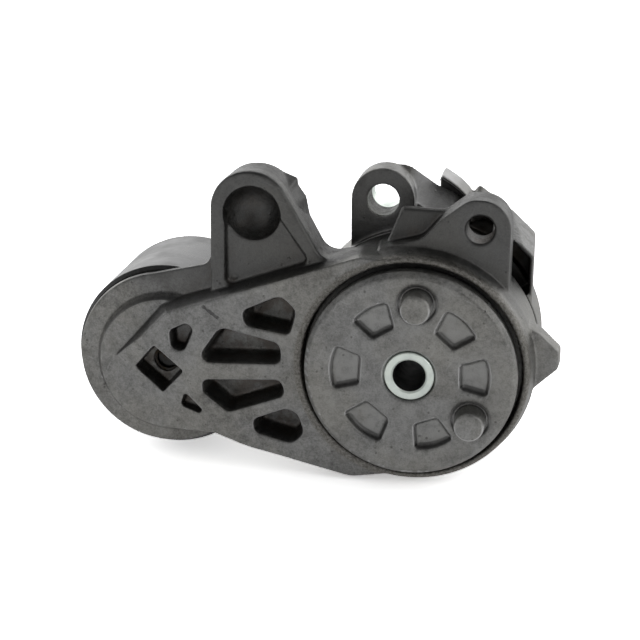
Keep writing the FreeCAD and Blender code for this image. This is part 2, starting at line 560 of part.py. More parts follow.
def arm_pockets():
    """The four deep pockets in the face of the beam and the two small ones beside the drive hole."""
    deep = [
        [(-64, 13.6, 3.5), (-45.8, 10.6, 3), (-43, 21.2, 4.5), (-49.4, 27.4, 4.5), (-65, 20.2, 3.5)],
        [(-84.4, -2.6, 3.4), (-48.8, -1.2, 3.5), (-49.6, 8, 4), (-73.4, 13.4, 5)],
        [(-81, -14.6, 2), (-71, -22.6, 4.5), (-47.2, -13.8, 3.5), (-49.6, -6.6, 3.5), (-81.4, -8.6, 3)],
        [(-60.8, -30, 3.5), (-45.2, -33.8, 4.5), (-40.2, -28.4, 4), (-43, -19.6, 5), (-48.4, -18.4, 4),
         (-61.4, -23.8, 3)],
    ]
    small = [
        [(-93.2, 2.9, 3), (-87.4, 1.1, 3), (-82.4, 12.6, 3), (-87, 14, 2.6), (-93.8, 10.6, 3)],
        [(-92, -22.4, 2.4), (-82, -25, 2), (-80.2, -22, 2), (-88.4, -13.8, 2)],
    ]
    mouth = -0.3
    pockets = [hollow(corners, ARM_FACE_Y - 0.5, ARM_POCKET_FLOOR_Y, mouth, -2.7) for corners in deep]
    pockets += [hollow(corners, ARM_FACE_Y - 0.5, SMALL_POCKET_FLOOR_Y, mouth, -1.9) for corners in small]
    return pockets


def drive_rectangle(long_side, short_side, y):
    """Outline of the drive hole in the plane at y; its inner long side stays in place."""
    turn = math.radians(DRIVE_ANGLE)
    near, far = DRIVE_SQUARE / 2, DRIVE_SQUARE / 2 - short_side
    corners = []
    for a, b in ((-long_side / 2, far), (long_side / 2, far), (long_side / 2, near), (-long_side / 2, near)):
        corners.append((PULLEY_X + a * math.cos(turn) - b * math.sin(turn),
                        PULLEY_Z + a * math.sin(turn) + b * math.cos(turn), 0.6))
    return outline_edges(corners, y)


def drive_hole():
    """Hole for a half-inch square drive, wider at its mouth."""
    mouth = drive_rectangle(DRIVE_LONG, DRIVE_SHORT, ARM_FACE_Y - 1)
    bottom = drive_rectangle(DRIVE_SQUARE + 1.2, DRIVE_SQUARE, DRIVE_BOTTOM_Y)
    return skinned(mouth, bottom)


def tensioner_arm():
    """The arm casting."""
    solid_hub = rod(HUB_BORE_RADIUS + 0.5, ARM_FACE_Y - 5, MOUNT_Y)
    outer = arm_beam().fuse([arm_shield(), dish_lug(), hole_lug(), hub_ear()])
    pulley_room = rod(PULLEY_RADIUS + 1.8, SHIELD_BACK_Y, PULLEY_BACK_Y, PULLEY_X, PULLEY_Z)
    outer = outer.cut(pulley_room)
    neck = [(-58, -30, 4), (-30, -40, 4), (-20, 0, 0), (-30, 38, 4), (-62, 28, 4), (-55, 0, 20)]
    outer = outer.fuse(slab(neck, SHIELD_BACK_Y - 1, DISH_LUG_BACK_Y)).cut(pulley_room).cut(solid_hub)
    arm = outer.fuse(arm_hub())
    arm = arm.fuse(rod(11, SHIELD_BACK_Y - 1, BEARING_FRONT_Y - DUST_SHIELD_THICKNESS, PULLEY_X, PULLEY_Z))
    tooth = sector(HOUSING_RADIUS - 0.3, HOUSING_RADIUS - HOUSING_WALL + 0.2,
                   STOP_TOOTH_START, STOP_TOOTH_END, HUB_SKIRT_BACK_Y - 1, MOUNT_Y - HOUSING_FLOOR - 5)
    stop_start = (SPRING_START + SPRING_TURNS * 360 + ARM_TRAVEL + 1) % 360
    stop = sector(HOUSING_RADIUS - HOUSING_WALL + 0.5, SPRING_RADIUS - SPRING_WIRE_RADIUS, stop_start,
                  stop_start + SPRING_STOP_ANGLE, WEB_BACK_Y - 0.5, WEB_BACK_Y + 1.8 * SPRING_WIRE_RADIUS)
    arm = arm.fuse([tooth, stop])
    for pocket in arm_pockets():
        arm = arm.cut(pocket)
    arm = arm.cut(drive_hole())
    arm = arm.cut(rod(BOLT_RADIUS, DRIVE_BOTTOM_Y - 1, MOUNT_Y, PULLEY_X, PULLEY_Z))
    chamfer = 0.9
    bore = turned([(0, HOLE_LUG_FRONT_Y - 0.1), (HOLE_LUG_BORE + chamfer, HOLE_LUG_FRONT_Y - 0.1),
                   (HOLE_LUG_BORE, HOLE_LUG_FRONT_Y + chamfer), (HOLE_LUG_BORE, HOLE_LUG_BACK_Y + 5),
                   (0, HOLE_LUG_BACK_Y + 5)], HOLE_LUG_X, HOLE_LUG_Z)
    return arm.cut(bore).removeSplitter()


# ---- pulley bearing and its bolt -------------------------------------------------------
def raceways():
    """The two ball grooves as solid rings."""
    rows = []
    for side in (-1, 1):
        middle = Vector(PULLEY_X, BEARING_MIDDLE_Y + side * BALL_ROW_OFFSET, PULLEY_Z)
        rows.append(Part.makeTorus(BALL_CIRCLE, BALL_RADIUS + RUNNING_GAP, middle, ALONG_Y))
    return rows


def bearing_ring(outer, inner):
    """A bearing ring with its two ball grooves."""
    ring = tube(outer, inner, BEARING_FRONT_Y, BEARING_BACK_Y, PULLEY_X, PULLEY_Z)
    for groove in raceways():
        ring = ring.cut(groove)
    return ring


def ball_places(side):
    """The middles of the balls of one row."""
    y = BEARING_MIDDLE_Y + side * BALL_ROW_OFFSET
    for i in range(BALL_COUNT):
        x, z = polar(BALL_CIRCLE, 360 / BALL_COUNT * i)
        yield Vector(PULLEY_X + x, y, PULLEY_Z + z)


def ball_row(side):
    """One row of loose balls."""
    return Part.makeCompound([Part.makeSphere(BALL_RADIUS, place) for place in ball_places(side)])


def ball_cage(side):
    """Crown cage: a ring on the inner side of the row with a round window for each ball."""
    y = BEARING_MIDDLE_Y + side * BALL_ROW_OFFSET
    ends = sorted((y + side * CAGE_REACH, BEARING_MIDDLE_Y + side * 0.2))
    cage = tube(BALL_CIRCLE + CAGE_HALF_WALL, BALL_CIRCLE - CAGE_HALF_WALL, ends[0], ends[1],
                PULLEY_X, PULLEY_Z)
    for place in ball_places(side):
        axis = Vector(PULLEY_X, y, PULLEY_Z)
        outwards = (place - axis).normalize()
        cage = cage.cut(Part.makeCylinder(BALL_RADIUS + 2 * RUNNING_GAP, 2 * BALL_CIRCLE, axis, outwards))
    return cage


def bearing_seal(y_front):
    """Rubber lip seal held in the outer ring."""
    return tube(OUTER_RING_BORE, INNER_RING_RADIUS + 2 * RUNNING_GAP, y_front, y_front + SEAL_THICKNESS,
                PULLEY_X, PULLEY_Z)


def bearing_sleeve():
    """Spacer between the bolt and the inner ring."""
    return tube(BEARING_BORE, BOLT_HOLE_RADIUS, BEARING_FRONT_Y, BEARING_BACK_Y, PULLEY_X, PULLEY_Z)


def dust_shield(y_front):
    """Thin steel disc clamped beside the inner ring."""
    return tube(DUST_SHIELD_RADIUS, BOLT_HOLE_RADIUS, y_front, y_front + DUST_SHIELD_THICKNESS,
                PULLEY_X, PULLEY_Z)


def bolt_washer():
    """Thick washer under the head of the pulley bolt."""
    front = BEARING_BACK_Y + DUST_SHIELD_THICKNESS
    return tube(BOLT_WASHER_RADIUS, BOLT_HOLE_RADIUS, front, front + BOLT_WASHER_THICKNESS,
                PULLEY_X, PULLEY_Z)


def pulley_bolt():
    """Hexagon bolt from the back, screwed in the arm."""
    head_front = BEARING_BACK_Y + DUST_SHIELD_THICKNESS + BOLT_WASHER_THICKNESS
    corner_radius = BOLT_HEAD_ACROSS / math.sqrt(3)
    points = []
    for i in range(7):
        x, z = polar(corner_radius, 60 * i + 15)
        points.append(Vector(PULLEY_X + x, head_front, PULLEY_Z + z))
    head = Part.Face(Part.makePolygon(points)).extrude(Vector(0, BOLT_HEAD_HEIGHT, 0))
    top = head_front + BOLT_HEAD_HEIGHT
    rounding = turned([(0, head_front), (corner_radius + 1, head_front), (corner_radius + 1, top - 1.4),
                       (BOLT_HEAD_ACROSS / 2 - 0.4, top), (0, top)], PULLEY_X, PULLEY_Z)
    tip = 1.0
    end = DRIVE_BOTTOM_Y + BOLT_END_DEPTH
    shank = turned([(0, end), (BOLT_RADIUS - tip, end), (BOLT_RADIUS, end + tip),
                    (BOLT_RADIUS, head_front + 1), (0, head_front + 1)], PULLEY_X, PULLEY_Z)
    return head.common(rounding).fuse(shank)


# ---- pulley ----------------------------------------------------------------------------
def pulley_shell():
    """Flat steel pulley: running surface, web and bearing seat."""
    edge = 1.2
    inner = PULLEY_RADIUS - PULLEY_WALL
    rim = turned([(inner, PULLEY_FRONT_Y), (PULLEY_RADIUS - edge, PULLEY_FRONT_Y),
                  (PULLEY_RADIUS, PULLEY_FRONT_Y + edge), (PULLEY_RADIUS, PULLEY_BACK_Y - edge),
                  (PULLEY_RADIUS - edge, PULLEY_BACK_Y), (inner, PULLEY_BACK_Y)], PULLEY_X, PULLEY_Z)
    half_web = 4.0
    web = tube(inner + 1, PULLEY_HUB_RADIUS - 1, BEARING_MIDDLE_Y - half_web, BEARING_MIDDLE_Y + half_web,
               PULLEY_X, PULLEY_Z)
    shoulder = 1.5
    shoulder_radius = DUST_SHIELD_RADIUS + 0.6
    groove_end = BEARING_BACK_Y + RETAINING_RING_THICKNESS
    hub = turned([(shoulder_radius, BEARING_FRONT_Y - shoulder),
                  (PULLEY_HUB_RADIUS, BEARING_FRONT_Y - shoulder), (PULLEY_HUB_RADIUS, groove_end + 1.5),
                  (BEARING_OUTSIDE, groove_end + 1.5), (BEARING_OUTSIDE, groove_end),
                  (BEARING_OUTSIDE + 1.2, groove_end), (BEARING_OUTSIDE + 1.2, BEARING_BACK_Y),
                  (BEARING_OUTSIDE, BEARING_BACK_Y), (BEARING_OUTSIDE, BEARING_FRONT_Y),
                  (shoulder_radius, BEARING_FRONT_Y)], PULLEY_X, PULLEY_Z)
    return rim.fuse([web, hub])


def retaining_ring():
    """Snap ring that keeps the bearing in the pulley."""
    ring = tube(BEARING_OUTSIDE + 1.1, BEARING_OUTSIDE - 1.4, BEARING_BACK_Y,
                BEARING_BACK_Y + RETAINING_RING_THICKNESS, PULLEY_X, PULLEY_Z)
    gap = Part.makeBox(8, 4, 8, Vector(PULLEY_X - 4, BEARING_BACK_Y - 1, PULLEY_Z + BEARING_OUTSIDE - 4))
    return ring.cut(gap)


PARTS = {
    "base_housing": base_housing,
    "pivot_sleeve": pivot_sleeve,
    "front_cap": front_cap,
    "preload_spring": preload_spring,
    "friction_ring": friction_ring,
    "torsion_spring": torsion_spring,
    "spring_seat": spring_seat,
    "rear_thrust_washer": rear_thrust_washer,
    "ring_dowel": ring_dowel,
    "locating_pin": locating_pin,
    "tensioner_arm": tensioner_arm,
    "front_pivot_bush": lambda: pivot_bush(WEB_FRONT_Y),
    "rear_pivot_bush": lambda: pivot_bush(ARM_TUBE_BACK_Y - BUSH_LENGTH),
    "bearing_sleeve": bearing_sleeve,
    "bearing_inner_ring": lambda: bearing_ring(INNER_RING_RADIUS, BEARING_BORE),
    "front_dust_shield": lambda: dust_shield(BEARING_FRONT_Y - DUST_SHIELD_THICKNESS),
    "rear_dust_shield": lambda: dust_shield(BEARING_BACK_Y),
    "bolt_washer": bolt_washer,
    "pulley_bolt": pulley_bolt,
    "pulley_shell": pulley_shell,
    "bearing_outer_ring": lambda: bearing_ring(BEARING_OUTSIDE, OUTER_RING_BORE),
    "front_bearing_seal": lambda: bearing_seal(BEARING_FRONT_Y + 0.1),
    "rear_bearing_seal": lambda: bearing_seal(BEARING_BACK_Y - SEAL_THICKNESS - 0.1),
    "retaining_ring": retaining_ring,
    "front_balls": lambda: ball_row(-1),
    "rear_balls": lambda: ball_row(1),
    "front_ball_cage": lambda: ball_cage(-1),
    "rear_ball_cage": lambda: ball_cage(1),
}

os.makedirs("parts", exist_ok=True)
for name, make in PARTS.items():
    shape = make()
    shape.exportStep("parts/" + name + ".step")
    print(name, len(shape.Solids), "solids", shape.isValid(), "volume", round(shape.Volume))
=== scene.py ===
import json
import math

import bmesh
import bpy
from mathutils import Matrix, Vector


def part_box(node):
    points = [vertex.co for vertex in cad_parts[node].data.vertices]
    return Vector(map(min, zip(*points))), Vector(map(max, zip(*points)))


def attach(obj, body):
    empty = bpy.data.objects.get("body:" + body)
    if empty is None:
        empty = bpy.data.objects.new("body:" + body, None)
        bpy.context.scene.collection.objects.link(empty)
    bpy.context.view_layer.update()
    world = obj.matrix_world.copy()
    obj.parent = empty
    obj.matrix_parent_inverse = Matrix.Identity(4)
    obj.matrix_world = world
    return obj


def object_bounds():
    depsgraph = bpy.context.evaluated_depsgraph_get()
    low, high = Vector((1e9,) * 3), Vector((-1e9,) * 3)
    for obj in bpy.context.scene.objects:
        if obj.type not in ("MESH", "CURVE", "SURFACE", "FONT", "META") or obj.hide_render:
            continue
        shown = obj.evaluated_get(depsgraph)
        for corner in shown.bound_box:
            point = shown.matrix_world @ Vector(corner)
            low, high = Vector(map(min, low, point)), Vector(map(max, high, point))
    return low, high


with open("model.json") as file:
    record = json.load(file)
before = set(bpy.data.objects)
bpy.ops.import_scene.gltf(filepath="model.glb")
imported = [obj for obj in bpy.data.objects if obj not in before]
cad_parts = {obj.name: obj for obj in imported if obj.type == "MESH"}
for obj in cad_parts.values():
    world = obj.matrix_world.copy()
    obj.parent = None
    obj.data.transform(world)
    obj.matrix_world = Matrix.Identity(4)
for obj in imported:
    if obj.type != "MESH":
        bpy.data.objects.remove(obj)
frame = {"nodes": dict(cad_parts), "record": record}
CAD_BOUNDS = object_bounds()
NODES = frame["nodes"]

MM = 0.001

# ---- places on the object --------------------------------------------------------------
CAP_LOW, CAP_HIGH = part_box("front_cap")
PULLEY_LOW, PULLEY_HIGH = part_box("pulley_shell")
CAP_RADIUS = (CAP_HIGH.x - CAP_LOW.x) / 2
CAP_FACE_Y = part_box("pivot_sleeve")[0].y
LIP_Y = CAP_FACE_Y + 5.5 * MM          # front face of the arm
PULLEY_AXIS = (PULLEY_LOW + PULLEY_HIGH) / 2
PULLEY_RADIUS = (PULLEY_HIGH.x - PULLEY_LOW.x) / 2
SLEEVE_BORE_RADIUS = 6.35 * MM
SLEEVE_RING_RADIUS = 9.1 * MM
BOLT_RADIUS = 5.0 * MM
THREAD_PITCH = 1.5 * MM
NICK_START = (-79.8 * MM, LIP_Y, 21.0 * MM)
NICK_END = (-73.7 * MM, LIP_Y, 16.5 * MM)
NICK_HALF_WIDTH = 0.75 * MM
LIP_INNER_RADIUS = CAP_RADIUS + 1.2 * MM
LIP_OUTER_RADIUS = CAP_RADIUS + 4.6 * MM
POCKETS_RADIUS = CAP_RADIUS + 6 * MM   # the pockets of the beam lie outside this radius
BEAM_RADIUS = 47 * MM                  # and its upper wall outside this one
CAP_RIM_RADIUS = CAP_RADIUS - 5 * MM   # the pockets of the cap lie inside this one
CAP_POCKET_DEPTH = 2.2 * MM
UPPER_SHADE_LOW_Z = 16 * MM            # the painted shade grows darker from here
UPPER_SHADE_HIGH_Z = 34 * MM           # to here
WEB_LEFT_X = -5 * MM                   # the web beside the upper lug of the housing, painted lighter
WEB_RIGHT_X = 12 * MM
WEB_LOW_Z = 47 * MM
CORNER_X = 15 * MM                     # the brown corner inside the housing
CORNER_Y = -23.5 * MM

# ---- surfaces --------------------------------------------------------------------------
CAST_NODES = ("tensioner_arm", "base_housing", "front_cap")
CAST_VOXEL = 0.42 * MM
CAST_ROUNDS = 8
SHARP_ANGLE = math.radians(28)
MOTTLE_LAYERS = ((50.0, 0.1), (210.0, 0.12), (620.0, 0.12), (1500.0, 0.14))
PIT_SCALE = 380.0
HEMMED_REACH = 15 * MM                   # how near another wall must be to darken a casting's skin with grime and painted shade; the pocket bloom uses it too
CORNER_REACH = 14 * MM
GRAIN_DEPTH = 0.13 * MM                # roughness of a casting's skin
SCRATCH_TURNS = (62.0, -24.0)          # degrees, the two ways that fine scratches run
SCRATCH_SCALES = (900.0, 1100.0)
SCRATCH_SQUASH = 0.06                  # a fine scratch's width as a share of its length
RING_STRETCH = 8                       # patches per metre along a turned ring
RING_FINENESS = 2600                   # and across the rings
BELT_STRETCH = 5
BELT_FINENESS = 1900
ZINC_PALE = (0.86, 0.93, 0.86, 1)
ZINC_DULL = (0.76, 0.83, 0.78, 1)
# tint of the grime and painted shade in a casting's hollows
GRIME_AND_SHADE_TINT = (1.0, 0.95, 0.9)
STAIN_TINT = (1.0, 0.95, 0.86)
PIT_TINT = (1.0, 0.95, 0.88)
BLOOM_TINT = (1.0, 0.84, 0.72)

# ---- room ------------------------------------------------------------------------------
FLOOR_GAP = 0.2 * MM
FLOOR_LIFT = 3.0                       # how much paler the camera sees the floor
FLOOR_GLOW = 0.3                       # light that comes up from the pale floor by itself
ROOM_DIM = 0.2
ROOM_BRIGHT = 1.5
SOFTBOX_SIZE = 0.6
CAMERA_AZIMUTH = math.radians(10.127)
CAMERA_ELEVATION = math.radians(19.092)
CAMERA_DISTANCE = 0.5376
CAMERA_LENS = 81.47
CAMERA_SENSOR = 36.0
CAMERA_TARGET = Vector((-0.0338, CAP_HIGH.y - 5.5 * MM, 0.0194))


# ---- node helpers ----------------------------------------------------------------------
class Nodes:
    """Short calls for building one material's or the world's node tree."""

    def __init__(self, tree):
        self.tree = tree
        tree.nodes.clear()

    def add(self, kind, inputs=None, **settings):
        node = self.tree.nodes.new(kind)
        for key, value in settings.items():
            setattr(node, key, value)
        for key, value in (inputs or {}).items():
            self.put(node.inputs[key], value)
        return node

    def put(self, socket, value):
        """Links an output to the socket, or sets its value."""
        if isinstance(value, bpy.types.NodeSocket):
            self.tree.links.new(value, socket)
        elif isinstance(value, bpy.types.Node):
            self.tree.links.new(value.outputs[0], socket)
        else:
            socket.default_value = value

    def math(self, operation, a, b=0.0):
        return self.add("ShaderNodeMath", {0: a, 1: b}, operation=operation).outputs[0]

    def vector(self, operation, a, b):
        """A vector operation's node; its outputs are Vector and Value."""
        return self.add("ShaderNodeVectorMath", {0: a, 1: b}, operation=operation)

    def split(self, vector):
        """The X, Y and Z outputs of a vector."""
        return self.add("ShaderNodeSeparateXYZ", {0: vector}).outputs

    def facing(self):
        """The X, Y and Z outputs of the surface's direction."""
        return self.split(self.add("ShaderNodeNewGeometry").outputs["Normal"])

    def openness(self, reach, samples):
        """One in the open, falling to zero where walls nearer than reach hem the surface in."""
        node = self.add("ShaderNodeAmbientOcclusion", {"Distance": reach}, samples=samples)
        return node.outputs["AO"]

    def noise(self, place, scale, detail=3.0, roughness=0.55):
        """Soft noise round 0.5; the scale is in patches per metre."""
        inputs = {"Vector": place, "Scale": scale, "Detail": detail, "Roughness": roughness}
        return self.add("ShaderNodeTexNoise", inputs).outputs["Fac"]

    def spread(self, value, low, high, to_low=0.0, to_high=1.0):
        """Maps low..high to to_low..to_high, clamped and smooth."""
        inputs = {"Value": value, "From Min": low, "From Max": high,
                  "To Min": to_low, "To Max": to_high}
        node = self.add("ShaderNodeMapRange", inputs, interpolation_type="SMOOTHSTEP")
        return node.outputs["Result"]

    def mix(self, share, a, b, kind="MIX"):
        """Colour a, with the given share of b."""
        node = self.add("ShaderNodeMix", data_type="RGBA", blend_type=kind)
        self.put(node.inputs[0], share)
        self.put(node.inputs[6], a)
        self.put(node.inputs[7], b)
        return node.outputs[2]

    def bump(self, height, depth, strength):
        """The surface's direction, tilted by a height of the given depth."""
        inputs = {"Height": height, "Distance": depth, "Strength": strength}
        return self.add("ShaderNodeBump", inputs).outputs[0]


def new_material(name):
    """An empty material and its node helper, with the place in the piece's own metres."""
    material = bpy.data.materials.new(name)
    material.use_nodes = True
    nodes = Nodes(material.node_tree)
    place = nodes.add("ShaderNodeTexCoord").outputs["Object"]
    return material, nodes, place


def finish_material(nodes, color, rough, normal, metallic=1.0):
    """The surface shader and the output."""
    shader = nodes.add("ShaderNodeBsdfPrincipled", {
        "Base Color": color, "Roughness": rough, "Metallic": metallic, "Normal": normal})
    nodes.add("ShaderNodeOutputMaterial", {"Surface": shader.outputs[0]})


def gray(value, tint=(1.0, 1.0, 1.0)):
    """A colour of one brightness, tinted a little."""
    return (value * tint[0], value * tint[1], value * tint[2], 1.0)


def add_object(name, data):
    """Puts a mesh, a light or a camera into the scene."""
    thing = bpy.data.objects.new(name, data)
    bpy.context.scene.collection.objects.link(thing)
    return thing


# ---- masks -----------------------------------------------------------------------------
def axis_radius(n, place, x=0.0, z=0.0):
    """Distance from a line along Y through x, z."""
    parts = n.split(n.vector("SUBTRACT", place, (x, 0, z)).outputs[0])
    square = n.math("ADD", n.math("POWER", n.math("ABSOLUTE", parts["X"]), 2.0),
                    n.math("POWER", n.math("ABSOLUTE", parts["Z"]), 2.0))
    return n.math("SQRT", square)


def between(n, value, low, high, soft):
    """One inside low..high, falling to zero over the soft distance on both sides."""
    rise = n.spread(value, low - soft, low + soft)
    fall = n.spread(value, high - soft, high + soft, 1.0, 0.0)
    return n.math("MULTIPLY", rise, fall)


def scratch_mask(n, place, start, end, half_width):
    """One along a straight scratch from start to end on the front face, zero elsewhere."""
    start, end = Vector(start), Vector(end)
    along = (end - start).normalized()
    aside = (along.z, 0, -along.x)
    offset = n.vector("SUBTRACT", place, tuple(start)).outputs[0]
    run = n.vector("DOT_PRODUCT", offset, tuple(along)).outputs["Value"]
    across = n.vector("DOT_PRODUCT", offset, aside).outputs["Value"]
    wobble = n.math("MULTIPLY", n.math("SUBTRACT", n.noise(place, 700.0), 0.5), 1.2 * MM)
    side = n.math("ABSOLUTE", n.math("ADD", across, wobble))
    inside = between(n, run, 0.0, (end - start).length, 0.5 * MM)
    return n.math("MULTIPLY", n.spread(side, half_width * 0.4, half_width, 1.0, 0.0), inside)


def uneven(n, place, layers):
    """A factor round 1 from (noise scale, depth of the unevenness) layers."""
    total = 1.0
    for scale, depth in layers:
        layer = n.spread(n.noise(place, scale, 3.0, 0.6), 0.34, 0.66, -depth, depth)
        total = n.math("ADD", total, layer)
    return total


def hair_scratches(n, place, turn, scale):
    """Sparse fine scratches on the front faces, all nearly along one direction."""
    turn_inputs = {"Vector": place, "Axis": (0, 1, 0), "Angle": math.radians(turn)}
    turned = n.add("ShaderNodeVectorRotate", turn_inputs).outputs[0]
    stretched = n.vector("MULTIPLY", turned, (SCRATCH_SQUASH, 1.0, 1.0)).outputs[0]
    lines = n.spread(n.noise(stretched, scale, 2.0, 0.4), 0.66, 0.7)
    where = n.spread(n.noise(place, 95.0, 2.0), 0.46, 0.62)
    return n.math("MULTIPLY", lines, where)


def pit_mask(n, place):
    """One in scattered small pits."""
    cells = n.add("ShaderNodeTexVoronoi", {"Vector": place, "Scale": PIT_SCALE, "Randomness": 1.0})
    chosen = n.spread(n.noise(place, 190.0, 1.0), 0.6, 0.63)
    return n.math("MULTIPLY", n.spread(cells.outputs["Distance"], 0.1, 0.22, 1.0, 0.0), chosen)


def turned_lines(n, place, stretch, fineness, detail):
    """Noise that is drawn out into rings round any axis along Y."""
    rings = n.vector("MULTIPLY", place, (stretch, fineness, stretch)).outputs[0]
    inputs = {"Vector": rings, "Scale": 1.0, "Detail": detail}
    return n.add("ShaderNodeTexNoise", inputs).outputs["Fac"]


def painted_upper_shade(n, place):
    """How much painted shade darkens the upper lugs and the ribs behind the front face."""
    parts = n.split(place)
    wave = n.math("MULTIPLY", n.math("SUBTRACT", n.noise(place, 60.0), 0.5), 10 * MM)
    high = n.spread(n.math("ADD", parts["Z"], wave), UPPER_SHADE_LOW_Z, UPPER_SHADE_HIGH_Z)
    recessed = n.spread(parts["Y"], LIP_Y + 2.5 * MM, LIP_Y + 5.5 * MM, 0.0, 0.7)
    deepest = n.spread(parts["Y"], LIP_Y + 12 * MM, LIP_Y + 14 * MM, 0.0, 0.18)
    return n.math("MULTIPLY", high, n.math("ADD", recessed, deepest))


def rim_wall(n, place):
    """One on the upper wall of the beam, between its front face and the plate behind."""
    wall = between(n, n.split(place)["Y"], LIP_Y + 1.5 * MM, LIP_Y + 9 * MM, 1 * MM)
    upwards = n.spread(n.facing()["Z"], 0.25, 0.6)
    outside = n.spread(axis_radius(n, place), BEAM_RADIUS, BEAM_RADIUS + 3 * MM)
    return n.math("MULTIPLY", n.math("MULTIPLY", wall, upwards), outside)


def hanging_walls(n, place, face_y, reach):
    """One on the steep walls just behind a front face that don't look upwards."""
    facing = n.facing()
    steep = n.spread(facing["Y"], -0.96, -0.8)
    not_upwards = n.spread(facing["Z"], 0.0, 0.3, 1.0, 0.0)
    near_face = n.spread(n.split(place)["Y"], face_y + reach * 0.7, face_y + reach, 1.0, 0.0)
    return n.math("MULTIPLY", n.math("MULTIPLY", steep, not_upwards), near_face)


# ---- castings --------------------------------------------------------------------------
def cast_tone(n, place, mottle, tone):
    """Mottled grey, here and there a little warmer."""
    value = n.math("MULTIPLY", mottle, tone)
    color = n.add("ShaderNodeCombineColor", {"Red": value, "Green": value, "Blue": value})
    warm = n.spread(n.noise(place, 34.0), 0.36, 0.64)
    tint = n.mix(warm, (1.0, 1.0, 0.985, 1), (1.0, 0.985, 0.93, 1))
    return n.mix(1.0, color.outputs[0], tint, "MULTIPLY")


def cast_wear(n, place, color, dirt, pits, tone):
    """Stains, fine scratches and dark pits over the grey."""
    color = n.mix(dirt, color, gray(tone * 0.5, STAIN_TINT))
    one_way, other_way = [hair_scratches(n, place, turn, scale)
                          for turn, scale in zip(SCRATCH_TURNS, SCRATCH_SCALES)]
    scratches = n.math("MAXIMUM", one_way, other_way)
    color = n.mix(n.math("MULTIPLY", scratches, 0.25), color, gray(min(1.0, tone * 1.8)))
    return n.mix(n.math("MULTIPLY", pits, 0.5), color, gray(tone * 0.3, PIT_TINT))


def cast_corners(n, color, tone, grime_and_shade, wear_and_highlight):
    """Grime and painted shade where walls are near; paler edges, partly worn metal and partly a painted
    highlight.
    """
    # painted shade with some grime: darker where other walls are near
    hollow_grime_and_shade = n.spread(n.openness(HEMMED_REACH, 12), 0.1, 0.92, grime_and_shade, 0.0)
    color = n.mix(hollow_grime_and_shade, color, gray(tone * 0.14, GRIME_AND_SHADE_TINT))
    # paler sharp edges: partly worn metal, partly a painted highlight
    pointed = n.add("ShaderNodeNewGeometry").outputs["Pointiness"]
    edges = n.spread(pointed, 0.52, 0.58, 0.0, wear_and_highlight)
    return n.mix(edges, color, gray(min(1.0, tone * 1.7)))


def cast_height(n, place, pits):
    """Coarse and fine grain with the pits sunk into it."""
    coarse = n.noise(place, 330.0, 5.0, 0.65)
    fine = n.noise(place, 1300.0, 4.0, 0.7)
    height = n.math("ADD", n.math("MULTIPLY", fine, 0.9), n.math("MULTIPLY", coarse, 1.6))
    return n.math("SUBTRACT", height, n.math("MULTIPLY", pits, 1.2))


def cast_aluminium(name, marks, tone, unevenness, stain, grime_and_shade, wear_and_highlight):
    """Die-cast aluminium: mottled grey, fine grain, small pits, edges made paler by wear and by a painted
    highlight, and corners darkened by grime and painted shade.
    The marks function adds marks of the piece's own and gives back colour and height."""
    material, n, place = new_material(name)
    mottle = uneven(n, place, [(scale, depth * unevenness) for scale, depth in MOTTLE_LAYERS])
    dirt = n.spread(n.noise(place, 120.0, 6.0, 0.7), 0.5, 0.72, 0.0, stain)
    pits = pit_mask(n, place)
    color = cast_tone(n, place, mottle, tone)
    color = cast_wear(n, place, color, dirt, pits, tone)
    color = cast_corners(n, color, tone, grime_and_shade, wear_and_highlight)
    rough = n.math("ADD", n.math("MULTIPLY", mottle, 0.3), n.math("MULTIPLY", dirt, 0.2))
    rough = n.math("ADD", rough, 0.16)
    color, height = marks(n, place, color, cast_height(n, place, pits), tone)
    finish_material(n, color, rough, n.bump(height, GRAIN_DEPTH, 0.9))
    return material


def add_lip(n, place, color, height, tone):
    """Sandy brownish lip round the cap."""
    radius = axis_radius(n, place)
    ring = between(n, radius, LIP_INNER_RADIUS, LIP_OUTER_RADIUS, 0.5 * MM)
    front = n.spread(n.split(place)["Y"], LIP_Y + 2.0 * MM, LIP_Y + 4.0 * MM, 1.0, 0.0)
    lip = n.math("MULTIPLY", ring, front)
    sand = n.noise(place, 900.0, 6.0, 0.8)
    sandy = n.mix(n.spread(sand, 0.35, 0.65), gray(tone * 0.42, (1.0, 0.93, 0.82)),
                  gray(tone * 1.25, (1.0, 0.97, 0.9)))
    color = n.mix(n.math("MULTIPLY", lip, 0.85), color, sandy)
    return color, n.math("ADD", height, n.math("MULTIPLY", n.math("MULTIPLY", sand, lip), 2.6))


def add_pocket_marks(n, place, color, tone):
    """Painted highlights on the rims and a brown bloom in the pockets of the beam."""
    beyond_hub = n.spread(axis_radius(n, place), POCKETS_RADIUS, POCKETS_RADIUS + 2 * MM)
    # painted highlight on the hanging walls at the edges of the pockets
    rims = n.math("MULTIPLY", hanging_walls(n, place, LIP_Y, 1.2 * MM), beyond_hub)
    color = n.mix(n.math("MULTIPLY", rims, 0.7), color, gray(min(1.0, tone * 1.9)))
    behind_face = n.spread(n.split(place)["Y"], LIP_Y + 3 * MM, LIP_Y + 6 * MM)
    deep = n.math("MULTIPLY", behind_face, beyond_hub)
    bloom = n.math("MULTIPLY", n.spread(n.openness(HEMMED_REACH, 4), 0.4, 0.75, 1.0, 0.0),
                   n.spread(n.noise(place, 150.0, 6.0, 0.65), 0.42, 0.6, 0.0, 0.75))
    return n.mix(n.math("MULTIPLY", bloom, deep), color, gray(tone * 0.38, BLOOM_TINT))


